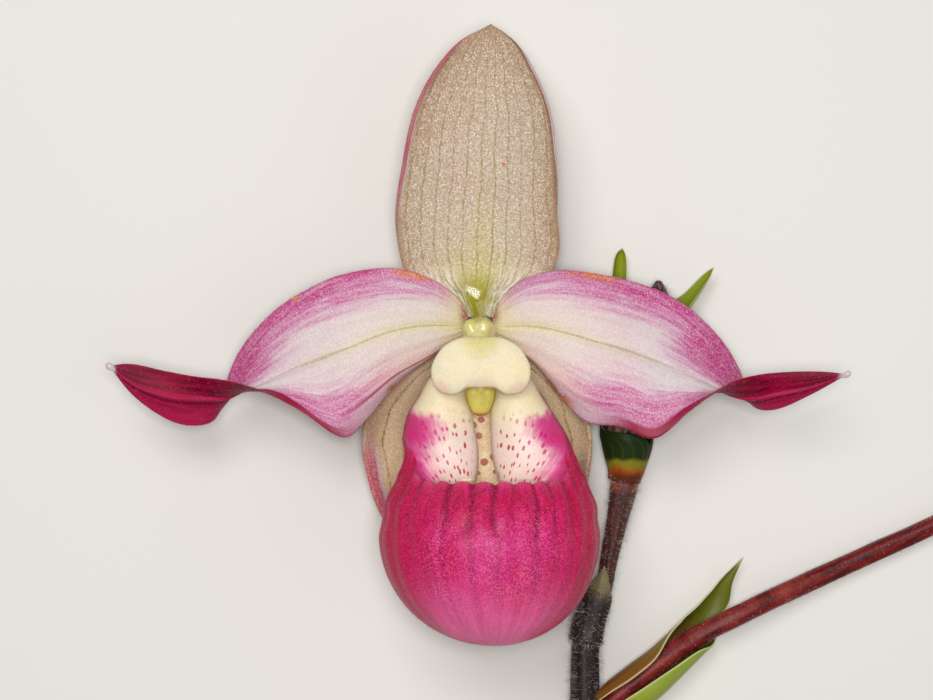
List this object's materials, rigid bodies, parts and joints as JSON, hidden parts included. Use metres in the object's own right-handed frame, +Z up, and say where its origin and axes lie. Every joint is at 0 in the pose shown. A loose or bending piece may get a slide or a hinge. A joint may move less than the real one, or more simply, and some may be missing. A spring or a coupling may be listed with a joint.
{
  "type": "phragmipedium orchid flower stem",
  "caption": "Open slipper orchid flower with a pink pouch, twisted petals and a tall sepal, on a cut hairy stem with bracts, a bud and a side branch, lying face up.",
  "frame": {"origin": "middle of the underside of the bounding box, on the surface that the stem lies on", "axes": "+Z up, out of the flower's face; +Y along the stem towards the tip of the dorsal sepal; +X to the right as the flower is looked at"},
  "size_m": [0.1198, 0.1452, 0.0307],
  "materials": {
    "sepal": "beige blushed with pink, sparkling, with brown-olive veins",
    "petal": "white to pale pink inside with a magenta margin, velvety crimson outside",
    "lip": "velvety crimson pouch, cream infolded lobes with pink-purple spots",
    "column": "glossy yellow-green",
    "staminode": "matt cream with a green blush",
    "stigma": "moist olive green",
    "anther": "matt golden yellow",
    "hairy_stem": "dark maroon with long white hairs",
    "branch": "red-brown with fine hairs",
    "bract": "satin green with pale margins",
    "bud": "maroon and green, densely hairy"
  },
  "bodies": {
    "root": {"dorsal_sepal": "sepal", "synsepalum": "sepal", "petal_left": "petal", "petal_right": "petal", "lip": "lip", "column": "column", "staminode": "staminode", "stigma": "stigma", "anther_left": "anther", "anther_right": "anther", "ovary": "hairy_stem", "main_stem": "hairy_stem", "flower_bud": "bud", "bract_upper_left": "bract", "bract_upper_right": "bract", "node_bract": "bract", "side_branch": "branch", "branch_bract": "bract", "branch_end_bud": "bud", "branch_end_bract": "bract"}
  },
  "joints": []
}
